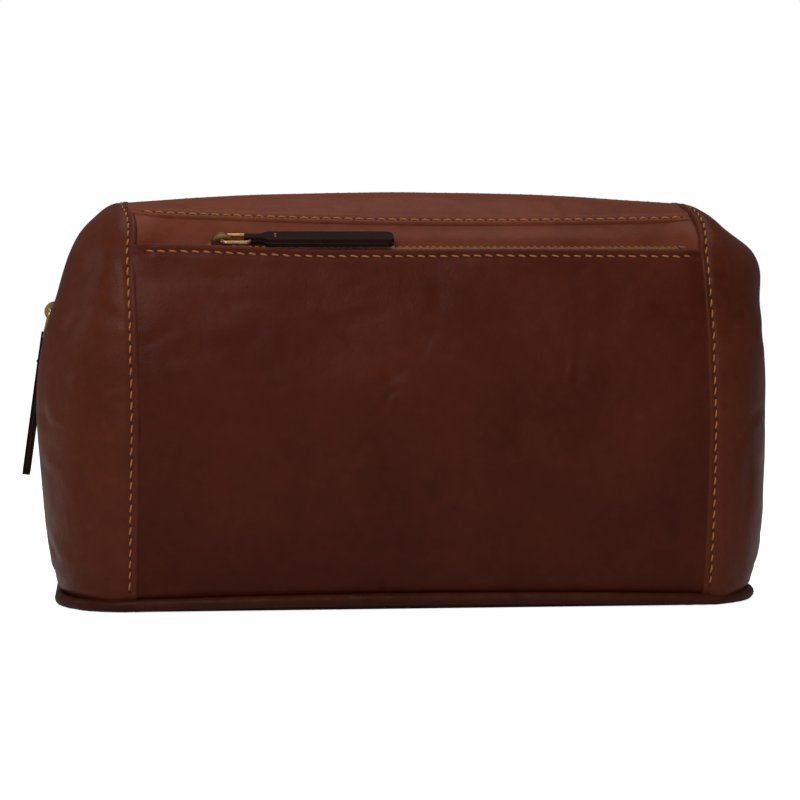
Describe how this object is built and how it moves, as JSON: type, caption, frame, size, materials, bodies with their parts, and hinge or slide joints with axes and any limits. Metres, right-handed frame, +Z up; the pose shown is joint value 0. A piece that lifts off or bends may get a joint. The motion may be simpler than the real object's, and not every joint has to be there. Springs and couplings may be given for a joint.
{
  "type": "shaving kit bag",
  "caption": "Boxy leather wash bag with a piped base, a zip over the top and down both ends, and a zipped front pocket with a leather pull.",
  "frame": {"origin": "on the ground under the middle of the base", "axes": "+X to the right along the front, -Y to the front with the zipped pocket, +Z up"},
  "size_m": [0.2791, 0.1222, 0.1525],
  "materials": {
    "leather_gusset": "satin",
    "leather_pocket": "satin",
    "leather_top": "satin",
    "leather_piping": "satin",
    "leather_pull": "satin",
    "cord": "matt",
    "board": "matt",
    "lining_cloth": "matt",
    "pocket_cloth": "matt",
    "zip_tape": "matt",
    "zip_teeth": "satin",
    "zip_hardware": "satin"
  },
  "bodies": {
    "base": {"base_board": "board", "base_lining": "lining_cloth", "base_panel": "leather_gusset", "left_end_lining": "lining_cloth", "left_end_panel": "leather_gusset", "left_zip_end_tape": "zip_tape", "left_zip_end_teeth": "zip_teeth", "main_zip_stops": "zip_hardware", "piping_cord": "cord", "piping_cover": "leather_piping", "right_end_lining": "lining_cloth", "right_end_panel": "leather_gusset", "right_zip_end_tape": "zip_tape", "right_zip_end_teeth": "zip_teeth"},
    "front_wall": {"front_panel": "leather_top", "pocket_panel": "leather_pocket", "pocket_lining": "pocket_cloth", "front_top_strip": "leather_top", "front_lining": "lining_cloth", "front_left_wing": "leather_gusset", "front_right_wing": "leather_gusset", "main_tape_front": "zip_tape", "main_teeth_front": "zip_teeth", "pocket_tape_lower": "zip_tape", "pocket_tape_upper": "zip_tape", "pocket_teeth_lower": "zip_teeth", "pocket_teeth_upper": "zip_teeth", "pocket_zip_stops": "zip_hardware"},
    "back_wall": {"back_panel": "leather_pocket", "back_top_strip": "leather_top", "back_lining": "lining_cloth", "back_left_wing": "leather_gusset", "back_right_wing": "leather_gusset", "main_tape_back": "zip_tape", "main_teeth_back": "zip_teeth"},
    "main_slider": {"main_slider": "zip_hardware"},
    "main_ring": {"main_ring": "zip_hardware"},
    "main_puller": {"main_puller": "leather_pull"},
    "pocket_slider": {"pocket_slider": "zip_hardware"},
    "pocket_ring": {"pocket_ring": "zip_hardware"},
    "pocket_puller": {"pocket_puller": "leather_pull"}
  },
  "joints": [
    {"name": "front_wall_fold", "type": "hinge", "parent": "base", "child": "front_wall", "pos_m": [0, -0.057, 0.006], "axis": [1, 0, 0], "range_deg": [0, 12]},
    {"name": "back_wall_fold", "type": "hinge", "parent": "base", "child": "back_wall", "pos_m": [0, 0.057, 0.006], "axis": [-1, 0, 0], "range_deg": [0, 12]},
    {"name": "main_slider_run", "type": "slide", "parent": "base", "child": "main_slider", "axis": [0.225, 0, 0.9744], "range_m": [0, 0.012], "deforming": ["left_zip_end_teeth", "main_teeth_front", "main_teeth_back"]},
    {"name": "main_ring_swing", "type": "hinge", "parent": "main_slider", "child": "main_ring", "pos_m": [-0.13304, 0, 0.10804], "axis": [0, 1, 0], "range_deg": [0, 100]},
    {"name": "main_pull_swing", "type": "hinge", "parent": "main_ring", "child": "main_puller", "pos_m": [-0.13533, 0, 0.0981], "axis": [0, 1, 0], "range_deg": [0, 75]},
    {"name": "pocket_slider_run", "type": "slide", "parent": "front_wall", "child": "pocket_slider", "axis": [1, 0, 0], "range_m": [0, 0.16], "deforming": ["pocket_teeth_lower", "pocket_teeth_upper"]},
    {"name": "pocket_ring_swing", "type": "hinge", "parent": "pocket_slider", "child": "pocket_ring", "pos_m": [-0.07, -0.04634, 0.1349], "axis": [0, -0.9563, -0.2924], "range_deg": [0, 100]},
    {"name": "pocket_pull_swing", "type": "hinge", "parent": "pocket_ring", "child": "pocket_puller", "pos_m": [-0.0598, -0.04634, 0.1349], "axis": [0, -0.9563, -0.2924], "range_deg": [0, 75]}
  ]
}
